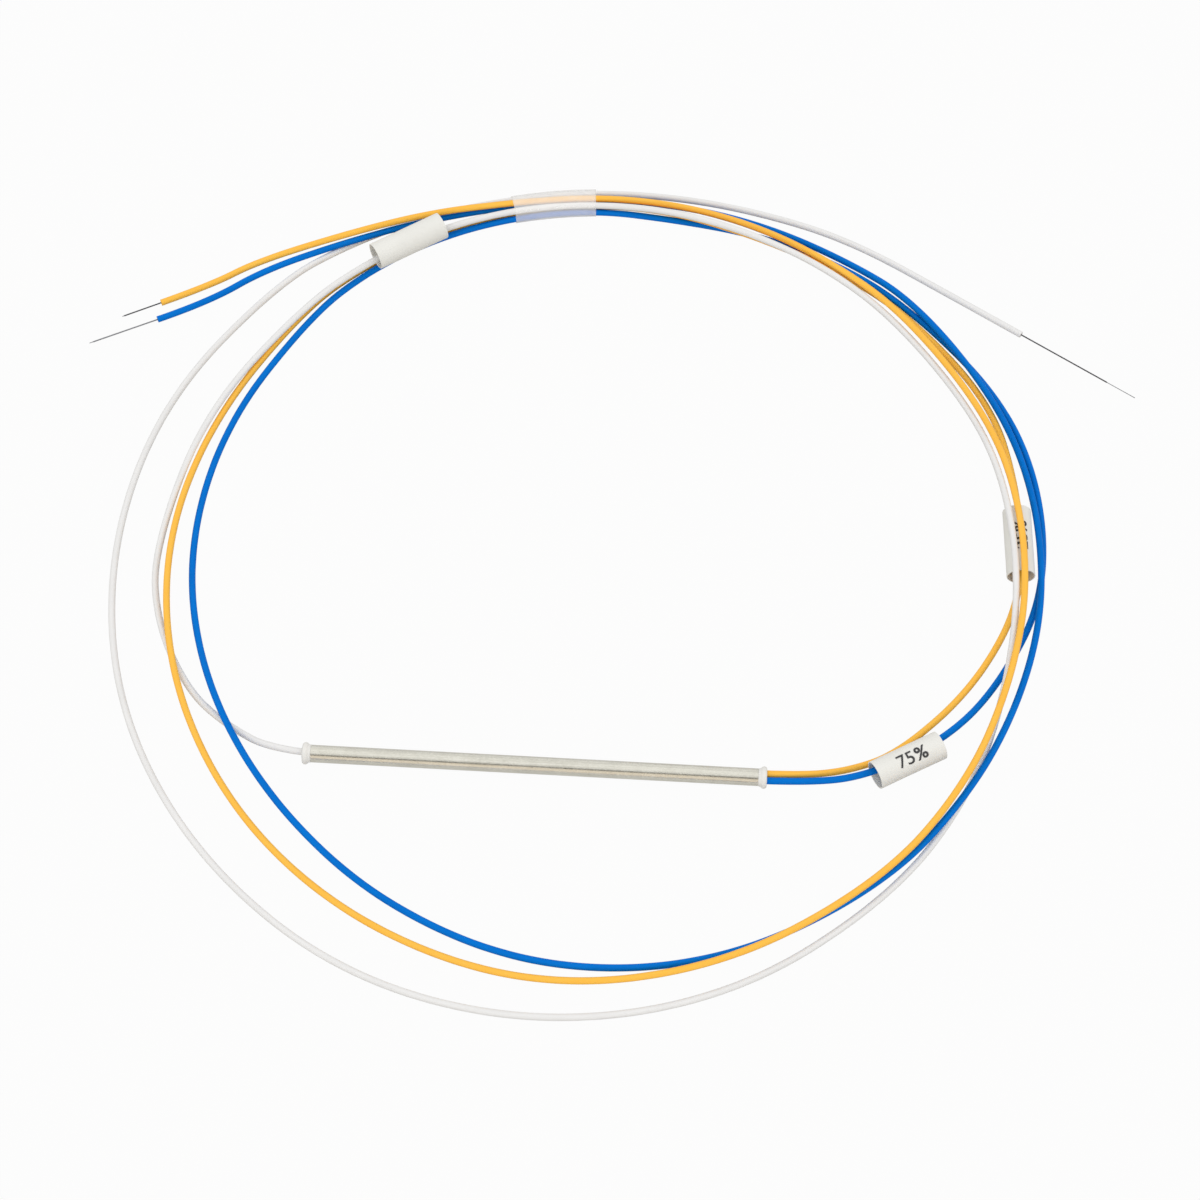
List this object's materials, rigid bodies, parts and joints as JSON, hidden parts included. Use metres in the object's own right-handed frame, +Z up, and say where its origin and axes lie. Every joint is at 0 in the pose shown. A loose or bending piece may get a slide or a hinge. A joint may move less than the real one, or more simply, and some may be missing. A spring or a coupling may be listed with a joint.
{
  "type": "fused biconical taper splitter",
  "caption": "Fused fibre coupler in a thin steel tube with plugged ends; coloured fibre pigtails with marker sleeves wound into one loose loop and held by a clear wrap.",
  "frame": {"origin": "under the middle of the steel tube, on the surface that the part lies on", "axes": "+X along the steel tube towards the two output pigtails, +Y across the loop, +Z up"},
  "size_m": [0.1915, 0.1649, 0.0071],
  "materials": {
    "steel": "satin",
    "plug": "satin",
    "white_tube": "satin",
    "yellow_tube": "satin",
    "blue_tube": "satin",
    "coated_fibre": "gloss",
    "silica": "gloss",
    "adhesive": "gloss",
    "sealant": "satin",
    "shrink_tube": "satin",
    "marker": "satin",
    "clear_film": "satin"
  },
  "bodies": {
    "coupler": {"steel_tube": "steel", "input_end_plug": "plug", "output_end_plug": "plug", "inner_shrink_tube": "shrink_tube", "quartz_substrate": "silica", "fused_taper": "silica", "input_taper_bond": "adhesive", "output_taper_bond": "adhesive", "input_seal": "sealant", "output_seal": "sealant", "input_fibre_lead": "coated_fibre", "yellow_fibre_lead": "coated_fibre", "blue_fibre_lead": "coated_fibre", "unused_port_stub": "coated_fibre", "port_terminator": "adhesive", "white_loose_tube": "white_tube", "yellow_loose_tube": "yellow_tube", "blue_loose_tube": "blue_tube", "white_fibre_end": "coated_fibre", "yellow_fibre_end": "coated_fibre", "blue_fibre_end": "coated_fibre", "coil_wrap": "clear_film"},
    "white_marker": {"white_marker_sleeve": "marker"},
    "yellow_marker": {"yellow_marker_sleeve": "marker"},
    "blue_marker": {"blue_marker_sleeve": "marker"}
  },
  "joints": [
    {"name": "white_marker_slide", "type": "slide", "parent": "coupler", "child": "white_marker", "axis": [0.837, 0.5472, 0], "range_m": [-0.002, 0.002]},
    {"name": "yellow_marker_slide", "type": "slide", "parent": "coupler", "child": "yellow_marker", "axis": [-0.0505, 0.9987, 0], "range_m": [-0.002, 0.002]},
    {"name": "blue_marker_slide", "type": "slide", "parent": "coupler", "child": "blue_marker", "axis": [0.8673, 0.4979, 0], "range_m": [-0.002, 0.002]}
  ]
}
